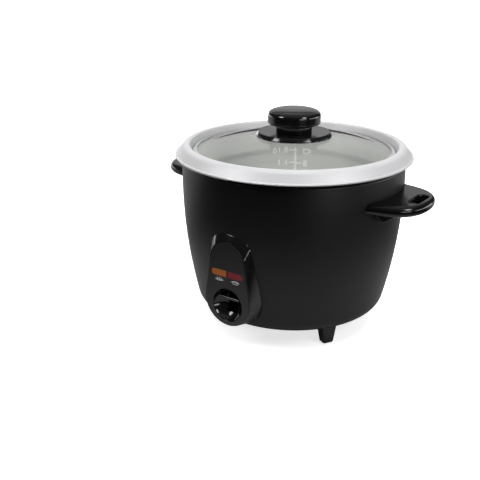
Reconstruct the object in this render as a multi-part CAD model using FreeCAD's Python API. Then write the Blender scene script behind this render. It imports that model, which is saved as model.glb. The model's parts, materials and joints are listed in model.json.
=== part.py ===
import FreeCAD, Part
import math
import os

V = FreeCAD.Vector

# Body of the cooker: heights are above the table, the front faces -Y
rim_radius = 125.0
works_height = 69.3
foot_height = 21.4
shell_wall = 1.0
flange_overhang = 7.4
shell_taper = 14.5
shell_corner_height = 13.2
shell_side_sag = 5.0
shell_hem_width = 6.0
shell_hem_drop = 2.5
shell_hem_radius = 3.0
base_inset = 41.1
fit_gap = 0.3

# Pot
pot_wall = 1.5
flange_width = 23.0
pot_depth = 115.7
pot_corner_radius = 30.0
seat_width = 5.6
seat_wall_height = 12.3
flange_crown_width = 5.0
bead_radius = 1.4

# Liner, heater and base
liner_wall = 1.0
liner_pot_gap = 2.7
liner_floor_margin = 10.0
liner_ledge = 12.0
liner_cone_height = 45.0
heater_thickness = 11.0
heater_lip = 6.0
spacer_height = 7.0
spacer_radius = 5.0
element_tube_radius = 4.0
element_share = 0.718
element_terminal_drop = 16.0
element_gap_angle = 24.0
fuse_radius = 2.0
fuse_length = 16.0
fuse_angle = 140.0
thermostat_radius = 8.0
thermostat_angle = 49.0
thermal_inset = 12.0
base_wall = 1.2
base_overlap = 7.5
vent_width = 4.0
vent_length = 16.0
vent_count = 12
screw_radius = 1.5
screw_head_radius = 3.0
screw_head_height = 1.6

# Feet
foot_top_length = 19.0
foot_top_width = 19.0
foot_end_length = 10.0
foot_end_width = 12.5
foot_outer_inset = 13.0
foot_edge_radius = 3.0

# Handles
handle_reach = 37.5
handle_half_width = 43.5
handle_thickness = 11.0
handle_drop = 24.8
handle_edge_radius = 5.0
grip_slot_length = 33.0
grip_slot_width = 10.5
grip_slot_round = 1.8
grip_bar = 7.5
lobe_depth = 10.0
lobe_thickness = 4.5

# Control panel
panel_stand = 13.0
panel_upper_radius = 20.5
panel_lower_radius = 27.5
panel_upper_height = 102.0
panel_lower_height = 59.0
panel_flare = 6.0
panel_roof = 1.6
panel_spread = 0.2
panel_wall = 2.5
overlay_thickness = 0.5
overlay_inset = 1.2
lever_hole_radius = 17.9
lever_hole_height = 54.0
well_depth = 12.0
well_wall = 1.5
lamp_length = 38.0
lamp_width = 7.0
lamp_height = 87.5
lamp_divider = 1.8
lens_gap = 0.15
lens_flange = 1.0
bulb_radius = 2.4
bulb_length = 9.0

# Lever and magnet
tongue_half_width = 11.3
tongue_thickness = 3.2
tongue_recess = 4.0
tongue_corner = 1.2
tongue_rise = 5.3
slot_room_below = 7.2
slot_room_above = 2.0
slot_side_room = 1.2
stem_half_width = 4.5
pivot_inset = 6.0
bracket_drop = 15.9
arm_thickness = 2.0
arm_half_width = 6.0
bracket_half_width = 12.0
bracket_front = 24.0
bracket_rear = 26.0
bracket_screw_reach = 15.0
bracket_screw_offset = 7.0
lever_foot_reach = 20.0
rivet_first = 4.0
rivet_second = 10.0
ear_thickness = 1.2
pin_radius = 2.0
cook_angle = 7.5
collar_radius = 5.0
plunger_stem_radius = 3.0
plunger_play = 0.9
cup_gap = 0.4
cup_wall = 1.0

# Sensor
sensor_radius = 17.0
sensor_wall = 1.5
sensor_travel = 4.5
sensor_flange_radius = 21.5
ferrite_thickness = 5.0
magnet_radius = 12.0
magnet_thickness = 6.0
spring_wire_radius = 0.6

# Lid
glass_thickness = 4.0
glass_dome_radius = 340.0
lid_edge_gap = 1.4
band_wall = 1.2
band_lip = 4.2
knob_skirt_radius = 39.8
knob_skirt_bevel = 2.3
knob_skirt_height = 4.2
knob_neck_radius = 19.0
knob_neck_height = 6.5
knob_cap_radius = 27.7
knob_cap_side = 8.0
knob_crown = 7.5
knob_shoulder = 0.75
knob_flat = 0.7
knob_underside_drop = 2.5
gasket_thickness = 0.4
gasket_gap = 0.1
knob_screw_radius = 2.0
washer_radius = 9.0

# Power inlet
inlet_height = 36.0
inlet_width = 27.0
inlet_tall = 19.0
inlet_depth = 20.0
inlet_flange = 4.0
inlet_flange_depth = 12.0
inlet_stand = 2.5
socket_width = 23.5
socket_tall = 15.5
socket_depth = 16.0
blade_width = 4.0
blade_thickness = 2.0
blade_pitch = 14.0
lead_radius = 1.3
lead_bend = 4.0

# Heights and radii worked out from the sizes above
rim_edge_height = works_height + pot_depth
shell_top_radius = rim_radius - flange_overhang
shell_top = rim_edge_height - shell_hem_drop
shell_arc_top = shell_top - shell_hem_radius
shell_low_radius = shell_top_radius - shell_taper
shell_low_height = foot_height + shell_corner_height
base_opening_radius = shell_low_radius - base_inset
pot_radius = rim_radius - flange_width
seat_height = rim_edge_height + 0.2
seat_radius = pot_radius + seat_width
pot_floor = seat_height - pot_depth
heater_top = pot_floor - pot_wall
heater_bottom = heater_top - heater_thickness
heater_radius = pot_radius - pot_corner_radius + heater_lip
element_ring_radius = heater_radius * element_share
element_inner_radius = element_ring_radius - element_tube_radius
liner_floor_radius = heater_radius + liner_floor_margin
liner_opening_radius = heater_radius - liner_ledge
pivot_distance = liner_opening_radius - pivot_inset
liner_floor = heater_bottom - spacer_height
liner_radius = pot_radius + pot_wall + liner_pot_gap
liner_under = liner_floor - liner_wall
pivot_height = liner_under - bracket_drop
cook_lift = pivot_distance * math.radians(cook_angle)


def curve(poles):
    line = Part.BezierCurve()
    line.setPoles(poles)
    return line.toShape()


def side_points():
    """Lower end, control point and upper end of the curve that the shell's side follows."""
    low = V(shell_low_radius, 0, shell_low_height)
    top = V(shell_top_radius, 0, shell_arc_top)
    way = top.sub(low)
    side = V(way.z, 0, -way.x).normalize()
    return low, low.add(top).multiply(0.5).add(side.multiply(2 * shell_side_sag)), top


def shell_radius(height):
    """Outer radius of the shell's side at a height."""
    low, control, top = side_points()
    second = low.z - 2 * control.z + top.z
    first = control.z - low.z
    drop = height - low.z
    share = drop / (first + math.sqrt(first * first + second * drop))
    return low.x * (1 - share) ** 2 + 2 * control.x * share * (1 - share) + top.x * share ** 2


def shell_corner():
    """Centre radius, centre height, size and lean of the rounded bottom corner, tangent to the side."""
    low, control, top = side_points()
    lean = math.atan2(control.x - low.x, control.z - low.z)
    size = shell_corner_height / (1 - math.sin(lean))
    return shell_low_radius - size * math.cos(lean), foot_height + size, size, lean


def polyline(points):
    return Part.makePolygon([V(r, 0, z) for r, z in points])


def spin(wire_or_face):
    face = wire_or_face if wire_or_face.ShapeType == "Face" else Part.Face(wire_or_face)
    return face.revolve(V(0, 0, 0), V(0, 0, 1), 360)


def spin_points(points):
    return spin(polyline(points + points[:1]))


def rounded_path(points, radii):
    """Straight runs through the points, joined by tangent arcs of the given radii."""
    edges = []
    last = points[0]
    for before, corner, after, radius in zip(points, points[1:], points[2:], radii):
        back = before.sub(corner).normalize()
        ahead = after.sub(corner).normalize()
        half = back.getAngle(ahead) / 2
        reach = radius / math.tan(half)
        middle_way = back.add(ahead).normalize()
        start = corner.add(V(back).multiply(reach))
        end = corner.add(V(ahead).multiply(reach))
        middle = corner.add(V(middle_way).multiply(radius / math.sin(half) - radius))
        edges.append(Part.makeLine(last, start))
        edges.append(Part.Arc(start, middle, end).toShape())
        last = end
    edges.append(Part.makeLine(last, points[-1]))
    return Part.Wire(edges)


def sheet_profile(wire, wall):
    """Face between a section line and its offset; a negative wall lies to the other side."""
    return wire.makeOffset2D(wall, 0, True, True)


def tube(points, radii, radius):
    path = rounded_path(points, radii)
    direction = points[1].sub(points[0])
    section = Part.Wire(Part.makeCircle(radius, points[0], direction))
    return path.makePipeShell([section], True, False)


def drum(radius, height, place, axis=V(0, 0, 1)):
    return Part.makeCylinder(radius, height, place, axis)


def block(x0, x1, y0, y1, z0, z1):
    return Part.makeBox(x1 - x0, y1 - y0, z1 - z0, V(x0, y0, z0))


def turned(shape, degrees):
    copy = shape.copy()
    copy.rotate(V(0, 0, 0), V(0, 0, 1), degrees)
    return copy


def group(solids):
    return Part.makeCompound(solids)


def screw(place, axis, shank):
    """Pan-head screw whose head stands on the surface at place, the shank going in against the axis."""
    head = drum(screw_head_radius, screw_head_height, place, axis)
    inward = V(axis).multiply(-1)
    return head.fuse(drum(screw_radius, shank, place, inward)).removeSplitter()


def shell_profile(inset):
    """Closed section of the shell's outer face, or of its inner face when set in by the wall."""
    corner_r, corner_z, size, lean = shell_corner()
    size = size - inset
    turn = (math.pi / 2 - lean) / 2
    side = V(-inset, 0, 0)
    low, control, top = [point.add(side) for point in side_points()]
    low = V(corner_r + size * math.cos(lean), 0, corner_z - size * math.sin(lean))
    floor = corner_z - size
    foot = V(corner_r, 0, floor)
    middle = V(corner_r + size * math.sin(turn), 0, corner_z - size * math.cos(turn))
    hem = shell_hem_radius - inset
    roof = shell_arc_top + hem
    hem_middle = V(top.x - hem * (1 - math.sqrt(0.5)), 0, shell_arc_top + hem * math.sqrt(0.5))
    hem_end = V(top.x - hem, 0, roof)
    return Part.Wire([Part.makeLine(V(0, 0, floor), foot), Part.Arc(foot, middle, low).toShape(),
                      curve([low, control, top]), Part.Arc(top, hem_middle, hem_end).toShape(),
                      Part.makeLine(hem_end, V(0, 0, roof)), Part.makeLine(V(0, 0, roof), V(0, 0, floor))])


def shell_body():
    """Everything inside the shell's outer face, for trimming what sits against it."""
    return spin(shell_profile(0))


panel_face = shell_radius(lever_hole_height) + panel_stand
inlet_face = shell_radius(inlet_height) + inlet_stand
handle_top = rim_edge_height - handle_drop
handle_root = shell_radius(handle_top)
handle_tip = handle_root + handle_reach
SHELL_BODY = shell_body()


def pear(grow, distance, raised):
    """Pear outline at a distance in front of the axis, grown all round, its top raised and spread."""
    upper = panel_upper_radius + grow + raised * panel_spread
    lower = panel_lower_radius + grow
    crest = panel_upper_height + raised
    lean = math.asin((lower - upper) / (crest - panel_lower_height))
    side = math.cos(lean)
    lift = math.sin(lean)
    y = -distance

    def on(radius, height, sign):
        return V(sign * radius * side, y, height + radius * lift)

    top = Part.Arc(on(upper, crest, -1), V(0, y, crest + upper), on(upper, crest, 1)).toShape()
    right = Part.makeLine(on(upper, crest, 1), on(lower, panel_lower_height, 1))
    bottom = Part.Arc(on(lower, panel_lower_height, 1), V(0, y, panel_lower_height - lower),
                      on(lower, panel_lower_height, -1)).toShape()
    left = Part.makeLine(on(lower, panel_lower_height, -1), on(upper, crest, -1))
    return Part.Wire([top, right, bottom, left])


def pear_block(grow_front, grow_back, front, back, slope=0):
    rear = pear(grow_back, back, slope * (front - back))
    return Part.makeLoft([pear(grow_front, front, 0), rear], True, True)


def pill(length, width, front, back, gap):
    """Pill-shaped bar across the panel at the lamps' height, shrunk by a gap."""
    half = length / 2 - width / 2
    radius = width / 2 - gap
    depth = front - back
    bar = block(-half, half, -front, -back, lamp_height - radius, lamp_height + radius)
    for side in (-1, 1):
        bar = bar.fuse(drum(radius, depth, V(side * half, -front, lamp_height), V(0, 1, 0)))
    return bar.removeSplitter()


def half_pill(side, length, width, front, back, gap):
    """One lamp's half of the pill, on the left (-1) or right (1) of the divider."""
    near = lamp_divider / 2 + gap
    reach = length
    x0, x1 = sorted((side * near, side * reach))
    keep = block(x0, x1, -front - 1, -back + 1, lamp_height - width, lamp_height + width)
    return pill(length, width, front, back, gap).common(keep)


def well_sphere(grow):
    """Ball whose dent makes the finger well round the lever."""
    radius = (lever_hole_radius ** 2 + well_depth ** 2) / (2 * well_depth)
    centre = V(0, -(panel_face - well_depth + radius), lever_hole_height)
    return Part.makeSphere(radius + grow, centre)


def lever_slot(grow):
    """Upright slot that the lever's stem moves through."""
    low = lever_hole_height + tongue_rise - tongue_thickness / 2 - lever_drop() - slot_room_below
    high = lever_hole_height + tongue_rise + tongue_thickness / 2 + slot_room_above
    half = stem_half_width + slot_side_room
    return block(-half - grow, half + grow, -panel_face, -panel_face + 40, low - grow, high + grow)


def lever_drop():
    reach = panel_face - tongue_recess - pivot_distance
    return reach * math.sin(math.radians(cook_angle))


def outer_shell():
    shell = SHELL_BODY.cut(spin(shell_profile(shell_wall)))
    shell = shell.cut(drum(base_opening_radius, foot_height, V(0, 0, foot_height / 2)))
    mouth = drum(shell_top_radius - shell_hem_width, foot_height, V(0, 0, shell_top - foot_height / 2))
    shell = shell.cut(mouth)
    shell = shell.cut(lever_slot(0))
    bulb_space = block(-lamp_length / 2, lamp_length / 2, -panel_face, -shell_low_radius,
                       lamp_height - lamp_width, lamp_height + lamp_width)
    shell = shell.cut(bulb_space)
    shell = shell.cut(inlet_body(fit_gap))
    for place, axis in screw_places():
        shell = shell.cut(drum(screw_radius, 12, V(place).sub(V(axis).multiply(10)), axis))
    for place in inlet_screw_places():
        shell = shell.cut(drum(screw_radius, 30, V(place.x, place.y + 1, place.z), V(0, -1, 0)))
    for x, y, z in panel_screw_places():
        shell = shell.cut(drum(screw_radius, 8, V(x, -y + 4, z), V(0, -1, 0)))
    return shell


def screw_places():
    """Seats on the shell's inner face for the foot and handle screws, with their outward axes."""
    reach = foot_screw_radius()
    floor = foot_height + shell_wall
    places = [(V(reach * math.cos(a), reach * math.sin(a), floor), V(0, 0, 1)) for a in foot_angles()]
    for side in (-1, 1):
        for y in (-handle_screw_pitch(), handle_screw_pitch()):
            turn = math.asin(y / handle_root)
            axis = V(-side * math.cos(turn), -math.sin(turn), 0)
            radius = shell_radius(handle_top - handle_thickness / 2) - shell_wall - fit_gap
            places.append((V(-axis.x * radius, -axis.y * radius, handle_top - handle_thickness / 2), axis))
    return places


def handle_screw_pitch():
    return handle_half_width / 2


def foot_angles():
    return [math.radians(a) for a in (-30, 90, 210)]


def foot_outer_radius():
    return shell_low_radius - foot_outer_inset


def foot_screw_radius():
    return foot_outer_radius() - foot_top_length / 2 + 2


def ear_outline(height):
    """Plan of a handle: the ear's smooth curve, shut by a straight line inside the shell."""
    tip = handle_tip
    half = handle_half_width
    side = [(handle_root - 13.5, half + 3.5), (handle_root - 1.5, half + 0.5), (tip - 20.0, half - 5.5),
            (tip - 8.0, half - 15.5), (tip - 1.5, half - 29.5)]
    points = [V(x, -y, height) for x, y in side] + [V(tip, 0, height)]
    points += [V(x, y, height) for x, y in reversed(side)]
    ear = Part.BSplineCurve()
    ear.interpolate(points)
    return Part.Wire([ear.toShape(), Part.makeLine(points[-1], points[0])])


def grip_slot(height, thickness):
    """Long finger hole through a handle, its two mouths rounded over."""
    middle = handle_tip - grip_bar - grip_slot_width / 2
    half = (grip_slot_length - grip_slot_width) / 2
    radius = grip_slot_width / 2
    slot = block(middle - radius, middle + radius, -half, half, height, height + thickness)
    for y in (-half, half):
        slot = slot.fuse(drum(radius, thickness, V(middle, y, height)))
    return slot.removeSplitter()


def handle(side):
    half = handle_half_width
    bottom = handle_top - handle_thickness
    ear = Part.Face(ear_outline(bottom)).extrude(V(0, 0, handle_thickness))
    rounds = [e for e in ear.Edges if e.BoundBox.ZLength < 0.01 and e.BoundBox.XMax > handle_root]
    ear = ear.makeFillet(handle_edge_radius, rounds)
    ear = ear.cut(grip_slot(bottom, handle_thickness))
    flat = [e for e in ear.Edges if e.BoundBox.ZLength < 0.01]
    inside = handle_tip - grip_bar + 0.1
    outside = inside - grip_slot_width - 0.2
    mouths = [e for e in flat if e.BoundBox.XMax < inside and e.BoundBox.XMin > outside]
    ear = ear.makeFillet(grip_slot_round, mouths)
    low = handle_top - handle_thickness - lobe_depth
    shield = [(-half + 1.5, handle_top), (-half + 5.5, low + lobe_depth), (-half + 15.5, low),
              (half - 15.5, low), (half - 5.5, low + lobe_depth), (half - 1.5, handle_top)]
    loop = [V(0, 0, handle_top)] + [V(0, y, z) for y, z in shield] + [V(0, 0, handle_top)]
    lobe = Part.Face(rounded_path(loop, [2, 6, 10, 10, 6, 2])).extrude(V(rim_radius + 10, 0, 0))
    lobe = lobe.common(drum(handle_root + lobe_thickness, rim_edge_height, V(0, 0, 0)))
    piece = ear.fuse(lobe).cut(SHELL_BODY)
    piece = max(piece.Solids, key=lambda s: s.Volume)
    piece = turned(piece, 0 if side > 0 else 180)
    for place, axis in screw_places():
        if place.x * side > 0 and abs(axis.z) < 0.5:
            piece = piece.cut(drum(screw_radius, 12, place, V(axis).multiply(-1)))
    return piece


def handle_screws():
    return group([screw(place, axis, 8) for place, axis in screw_places() if abs(axis.z) < 0.5])


def foot(angle):
    outer = foot_outer_radius()
    top = foot_height + 8
    end_outer = outer - 3.0

    def ring(length, width, far, height):
        points = [(far - length, -width / 2), (far, -width / 2), (far, width / 2), (far - length, width / 2)]
        corners = [V(x, y, height) for x, y in points]
        middle = corners[0].add(corners[-1]).multiply(0.5)
        return rounded_path([middle] + corners + [middle], [3, 3, 3, 3])

    piece = Part.makeLoft([ring(foot_end_length, foot_end_width, end_outer, 0),
                           ring(foot_top_length, foot_top_width, outer, top)], True, True)
    bottom = [e for e in piece.Edges if e.BoundBox.ZMax < 0.01]
    piece = piece.makeFillet(min(foot_edge_radius, foot_end_length / 3), bottom)
    piece = turned(piece, math.degrees(angle)).cut(SHELL_BODY)
    hole = V(foot_screw_radius() * math.cos(angle), foot_screw_radius() * math.sin(angle), foot_height)
    return piece.cut(drum(screw_radius, 9, hole, V(0, 0, -1)))


def foot_screws():
    return group([screw(place, axis, 9) for place, axis in screw_places() if abs(axis.z) > 0.5])


def base_screw_places():
    radius = base_opening_radius + base_overlap / 2
    return [V(radius * math.cos(a), radius * math.sin(a), foot_height - base_wall)
            for a in (math.radians(30), math.radians(150), math.radians(270))]


def base_plate():
    plate = drum(base_opening_radius + base_overlap, base_wall, V(0, 0, foot_height - base_wall))
    for index in range(vent_count):
        angle = 360 / vent_count * index
        slot = block(24, 24 + vent_length, -vent_width / 2, vent_width / 2, 0, foot_height)
        plate = plate.cut(turned(slot, angle))
    for place in base_screw_places():
        plate = plate.cut(drum(screw_radius, base_wall, place))
    return plate


def base_screws():
    return group([screw(place, V(0, 0, -1), base_wall) for place in base_screw_places()])


def inner_liner():
    top = shell_top - shell_wall
    points = [V(liner_opening_radius, 0, liner_floor), V(liner_floor_radius, 0, liner_floor),
              V(liner_radius, 0, liner_floor + liner_cone_height), V(liner_radius, 0, top),
              V(shell_top_radius - shell_hem_radius - fit_gap, 0, top)]
    line = rounded_path(points, [6, 12, 2])
    liner = spin(sheet_profile(line, -liner_wall))
    for place in spacer_places() + bracket_screw_places():
        hole = V(place.x, place.y, liner_floor - 3 * liner_wall)
        liner = liner.cut(drum(screw_radius, 6 * liner_wall, hole))
    return liner


def spacer_places():
    radius = heater_radius - spacer_radius
    return [V(radius * math.cos(a), radius * math.sin(a), liner_floor)
            for a in (math.radians(30), math.radians(150), math.radians(255))]


def heater_plate():
    plate = drum(heater_radius, heater_thickness, V(0, 0, heater_bottom))
    plate = plate.makeFillet(2, [e for e in plate.Edges if e.Length > 1 and e.BoundBox.ZLength < 0.01])
    plate = plate.cut(drum(sensor_radius + 1.2, heater_thickness, V(0, 0, heater_bottom)))
    plate = plate.cut(element_ring())
    for place in spacer_places():
        plate = plate.cut(drum(screw_radius, 5, V(place.x, place.y, heater_bottom)))
    for place in frame_screw_places():
        plate = plate.cut(drum(screw_radius, 5, V(place.x, place.y, heater_bottom)))
    return plate


def element_ends():
    half = math.radians(element_gap_angle / 2)
    across = element_ring_radius * math.sin(half)
    back = element_ring_radius * math.cos(half)
    return [V(side * across, back, heater_bottom) for side in (-1, 1)]


def element_ring():
    circle = Part.makeCircle(element_tube_radius, V(element_ring_radius, 0, heater_bottom), V(0, 1, 0))
    ring = Part.Face(Part.Wire(circle)).revolve(V(0, 0, 0), V(0, 0, 1), 360 - element_gap_angle)
    return turned(ring, 90 + element_gap_angle / 2)


def heating_element():
    element = element_ring()
    for end in element_ends():
        element = element.fuse(drum(element_tube_radius, element_terminal_drop, end, V(0, 0, -1)))
        element = element.cut(drum(element_tube_radius * 2, element_tube_radius * 2, end))
    whole = element_ring().fuse(element)
    return max(whole.removeSplitter().Solids, key=lambda s: s.Volume)


def heater_spacers():
    return group([drum(spacer_radius, spacer_height, place).cut(drum(screw_radius, spacer_height, place))
                  for place in spacer_places()])


def heater_screws():
    return group([screw(V(place.x, place.y, liner_under), V(0, 0, -1), spacer_height + liner_wall + 4)
                  for place in spacer_places()])


def panel_blank():
    back = shell_low_radius - 20
    flare = panel_flare * (panel_face - back) / panel_stand / 2
    return pear_block(0, flare, panel_face - overlay_thickness, back, panel_roof), back, flare


def control_panel():
    blank, back, flare = panel_blank()
    front = panel_face - overlay_thickness
    hollow = pear_block(-panel_wall, flare - panel_wall, front - panel_wall, back, panel_roof)
    panel = blank.cut(hollow)
    behind = block(-60, 60, -front, 0, 0, rim_edge_height)
    panel = panel.fuse(well_sphere(well_wall).common(blank).common(behind))
    panel = panel.cut(well_sphere(0)).cut(SHELL_BODY).cut(lever_slot(0))
    for side in (-1, 1):
        panel = panel.cut(half_pill(side, lamp_length, lamp_width, panel_face, front - panel_wall, 0))
    for place in panel_screw_places():
        boss = drum(4.0, front - place[1], V(place[0], -front, place[2]), V(0, 1, 0))
        panel = panel.fuse(boss.common(blank)).cut(SHELL_BODY)
        panel = panel.cut(drum(screw_radius, 4, V(place[0], -place[1], place[2]), V(0, -1, 0)))
    return max(panel.Solids, key=lambda s: s.Volume)


def panel_screw_places():
    height = panel_upper_height + panel_upper_radius / 2
    return [(0.0, shell_radius(height) - shell_wall - fit_gap, height)]


def panel_screws():
    return group([screw(V(x, -y, z), V(0, 1, 0), 4) for x, y, z in panel_screw_places()])


def panel_overlay():
    back = panel_face - overlay_thickness
    film = pear_block(-overlay_inset, -overlay_inset, panel_face, back)
    film = film.cut(drum(lever_hole_radius, 10, V(0, -panel_face - 2, lever_hole_height), V(0, 1, 0)))
    for side in (-1, 1):
        film = film.cut(half_pill(side, lamp_length, lamp_width, panel_face, back, 0))
    return film


def lens(side):
    wall_back = panel_face - overlay_thickness - panel_wall
    front = half_pill(side, lamp_length, lamp_width, panel_face, wall_back, lens_gap)
    rear = half_pill(side, lamp_length + 2 * lens_flange, lamp_width + 2 * lens_flange,
                     wall_back, wall_back - lens_flange, lens_gap)
    return front.fuse(rear).removeSplitter()


def lamp_distance():
    return panel_face - overlay_thickness - panel_wall - lens_flange - bulb_radius - fit_gap


def bulb(side):
    start = V(side * (lamp_divider + 1.5), -lamp_distance(), lamp_height)
    return drum(bulb_radius, bulb_length, start, V(side, 0, 0))


def lamp_holder():
    """Tray behind the lenses that the two bulbs lie in."""
    half = lamp_length / 2 - 1
    back = lamp_distance() - bulb_radius - 2
    tray = block(-half, half, -lamp_distance(), -back,
                 lamp_height - lamp_width / 2, lamp_height + lamp_width / 2)
    for side in (-1, 1):
        tray = tray.cut(bulb(side))
    return tray


def lever_bracket():
    top = liner_under
    strip = block(-bracket_half_width, bracket_half_width, -pivot_distance - bracket_front,
                  -pivot_distance + bracket_rear, top - ear_thickness, top)
    inner = arm_half_width + ear_thickness + 1.6
    bracket = strip
    for side in (-1, 1):
        x0, x1 = sorted((side * inner, side * (inner + ear_thickness)))
        bracket = bracket.fuse(block(x0, x1, -pivot_distance - 5, -pivot_distance + 5, pivot_height - 5, top))
    bracket = bracket.cut(pivot_pin_bar(pin_radius + 0.1))
    for place in bracket_screw_places():
        hole = V(place.x, place.y, top - 2 * ear_thickness)
        bracket = bracket.cut(drum(screw_radius, 4 * ear_thickness, hole))
    return bracket.removeSplitter()


def bracket_screw_places():
    y = -pivot_distance - bracket_screw_reach
    return [V(x, y, liner_under - ear_thickness) for x in (-bracket_screw_offset, bracket_screw_offset)]


def bracket_screws():
    return group([screw(place, V(0, 0, -1), 5) for place in bracket_screw_places()])


def pivot_pin_bar(radius):
    half = arm_half_width + 2 * ear_thickness + 2.4
    return drum(radius, 2 * half, V(-half, -pivot_distance, pivot_height), V(1, 0, 0))


def lever_pin():
    return pivot_pin_bar(pin_radius)


def coil(radius, wire, turns, pitch, start):
    """Round-wire helix about Z as one tube, in quarter-turn arcs."""
    def at(quarter):
        angle = quarter * math.pi / 2
        return start.add(V(radius * math.cos(angle), radius * math.sin(angle), pitch * quarter / 4))

    steps = int(turns * 4)
    arcs = [Part.Arc(at(i), at(i + 0.5), at(i + 1)).toShape() for i in range(steps)]
    direction = V(0, radius, pitch / (2 * math.pi))
    section = Part.Wire(Part.makeCircle(wire, at(0), direction))
    print("coil gap between turns", round(pitch - 2 * wire, 2))
    return Part.Wire(arcs).makePipeShell([section], True, False)


def lever_spring():
    """Torsion spring round the pivot pin, between the arm's ear and the bracket."""
    wire = 0.3
    ring = coil(pin_radius + 0.1 + wire + fit_gap, wire, 1, 1.1, V(0, 0, 0))
    ring.rotate(V(0, 0, 0), V(0, 1, 0), 90)
    ring.translate(V(arm_half_width + ear_thickness + 0.25, -pivot_distance, pivot_height))
    return ring


def lever_arm():
    half = arm_half_width
    low = pivot_height - arm_thickness / 2
    arm = block(-half, half, -lever_foot_far(), collar_radius, low, low + arm_thickness)
    slot = plunger_stem_radius + 1.0
    arm = arm.cut(block(-slot, slot, -slot - 1.0, collar_radius + 1, low, low + arm_thickness))
    for side in (-1, 1):
        x0, x1 = sorted((side * half, side * (half - ear_thickness)))
        arm = arm.fuse(block(x0, x1, -pivot_distance - 5, -pivot_distance + 5,
                             pivot_height - 4, pivot_height + 4))
    arm = arm.cut(pivot_pin_bar(pin_radius + 0.15))
    arm = arm.cut(block(-half + ear_thickness, half - ear_thickness, -pivot_distance - pin_radius - 0.4,
                        -pivot_distance + pin_radius + 0.4, low - 1, low + arm_thickness + 1))
    for place in rivet_places():
        arm = arm.cut(drum(screw_radius, arm_thickness, place))
    return arm.removeSplitter()


def lever_foot_far():
    return lever_foot_near() + 14


def lever_foot_near():
    return pivot_distance + lever_foot_reach


def rivet_places():
    low = pivot_height - arm_thickness / 2
    return [V(0, -lever_foot_near() - reach, low) for reach in (rivet_first, rivet_second)]


def lever_rivets():
    return group([screw(place, V(0, 0, -1), arm_thickness + 4) for place in rivet_places()])


def cook_lever():
    """Glossy tongue in the well, its stem through the shell and its leg down to the steel arm."""
    top = lever_hole_height + tongue_rise + tongue_thickness / 2
    bottom = top - tongue_thickness
    front = panel_face - tongue_recess
    neck = front - 4.0
    seat = pivot_height + arm_thickness / 2
    near = lever_foot_near()
    far = lever_foot_far()
    leg = [(neck, top), (shell_low_radius - 2.5, top), (near + 6, seat + 4), (near, seat + 4), (near, seat),
           (far, seat), (far + 2, seat + 4), (shell_low_radius + 3.5, bottom), (neck, bottom)]
    outline = Part.makePolygon([V(-stem_half_width, -w, z) for w, z in leg + leg[:1]])
    stem = Part.Face(outline).extrude(V(2 * stem_half_width, 0, 0))
    wide = tongue_half_width
    narrow = stem_half_width + 3
    plan = [V(x, y, bottom) for x, y in ((-narrow, -neck), (-wide, -front + 1.8), (-wide, -front),
                                         (wide, -front), (wide, -front + 1.8), (narrow, -neck))]
    edges = rounded_path(plan, [0.8, tongue_corner, tongue_corner, 0.8]).Edges
    edges.append(Part.makeLine(plan[-1], plan[0]))
    tongue = Part.Face(Part.Wire(edges)).extrude(V(0, 0, tongue_thickness))
    side = [V(0, -w, z) for w, z in ((neck, bottom), (front, bottom), (front, top), (neck, top))]
    edges = rounded_path(side, [tongue_thickness * 0.36] * 2).Edges
    edges.append(Part.makeLine(side[-1], side[0]))
    rounded = Part.Face(Part.Wire(edges)).extrude(V(2 * wide, 0, 0))
    rounded.translate(V(-wide, 0, 0))
    tongue = tongue.common(rounded)
    lever = stem.fuse(tongue).removeSplitter()
    for place in rivet_places():
        lever = lever.cut(drum(screw_radius, 4, V(place.x, place.y, seat)))
    return lever


def micro_switch():
    top = liner_under - ear_thickness
    body = block(-9, 9, -pivot_distance + 8, -pivot_distance + 25, top - 9.5, top)
    for x in (-5, 0, 5):
        body = body.fuse(block(x - 1.2, x + 1.2, -pivot_distance + 24, -pivot_distance + 30,
                               top - 6, top - 5.2))
    return body


def frame_top():
    return cup_bottom() - cup_gap


def frame_screw_places():
    return [V(x, 0, heater_bottom) for x in (-34, 34)]


def thermostat_frame():
    """Hanger under the heater plate that guides the plunger and carries the sensor's spring."""
    plate_top = frame_top()
    wall = ear_thickness
    arm_x = sensor_flange_radius + 5.5
    frame = block(-arm_x, arm_x, -15, 15, plate_top - wall, plate_top)
    frame = frame.fuse(drum(sensor_flange_radius, wall, V(0, 0, plate_top - wall)))
    for side in (-1, 1):
        x0, x1 = sorted((side * arm_x, side * (arm_x - wall)))
        frame = frame.fuse(block(x0, x1, -9, 9, plate_top - wall, heater_bottom))
        x0, x1 = sorted((side * (arm_x - wall), side * (arm_x + 12)))
        frame = frame.fuse(block(x0, x1, -9, 9, heater_bottom - wall, heater_bottom))
    frame = frame.cut(drum(plunger_stem_radius + fit_gap, 10, V(0, 0, plate_top - 5)))
    for place in frame_screw_places():
        frame = frame.cut(drum(screw_radius, 4 * wall, V(place.x, place.y, heater_bottom - 2 * wall)))
    return frame.removeSplitter()


def frame_screws():
    return group([screw(V(place.x, place.y, heater_bottom - ear_thickness), V(0, 0, -1), 5)
                  for place in frame_screw_places()])


def sensor_flange_bottom():
    return heater_bottom - sensor_travel - fit_gap - 1.0


def sensor_cap():
    bottom = sensor_flange_bottom()
    inner = sensor_radius - sensor_wall
    cap = spin_points([(0, heater_top), (sensor_radius - 1, heater_top), (sensor_radius, heater_top - 1),
                       (sensor_radius, bottom + 1), (sensor_flange_radius, bottom + 1),
                       (sensor_flange_radius, bottom), (inner, bottom), (inner, heater_top - sensor_wall),
                       (0, heater_top - sensor_wall)])
    return cap


def ferrite_disc():
    top = heater_top - sensor_wall
    return drum(sensor_radius - sensor_wall - 0.2, ferrite_thickness, V(0, 0, top - ferrite_thickness))


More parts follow.
